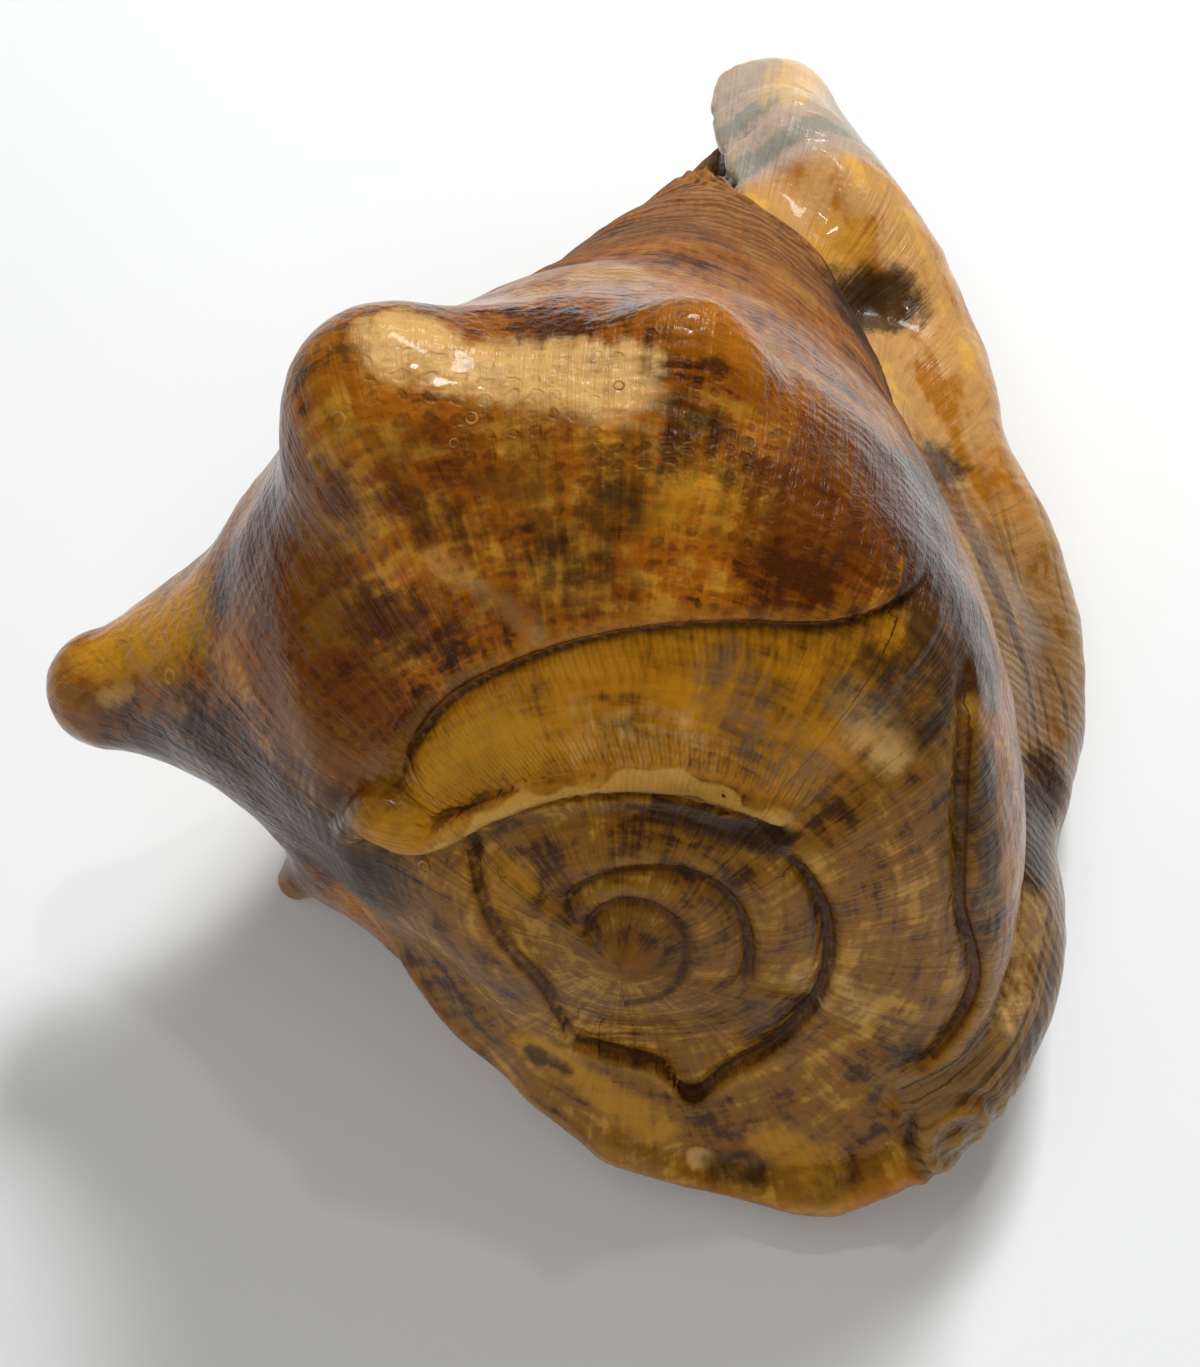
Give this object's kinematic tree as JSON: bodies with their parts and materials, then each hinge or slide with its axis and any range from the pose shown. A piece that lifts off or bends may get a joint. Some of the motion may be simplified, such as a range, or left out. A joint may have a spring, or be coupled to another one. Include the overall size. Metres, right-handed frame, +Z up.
{
  "type": "horned helmet shell",
  "caption": "Large varnished sea snail shell with blunt shoulder horns, a thick rolled lip and a flat shield, lying on its aperture as a display piece.",
  "frame": {"origin": "centre of the bounding box's base, on the surface that the shell lies on", "axes": "+Z up; +Y from the spire to the canal, along the shell's length; +X to the lip side"},
  "size_m": [0.1628, 0.2242, 0.1175],
  "materials": {
    "shell": "varnished amber and brown shell, pitted on the back, polished on lip and shield"
  },
  "bodies": {
    "root": {"shell": "shell"}
  },
  "joints": []
}
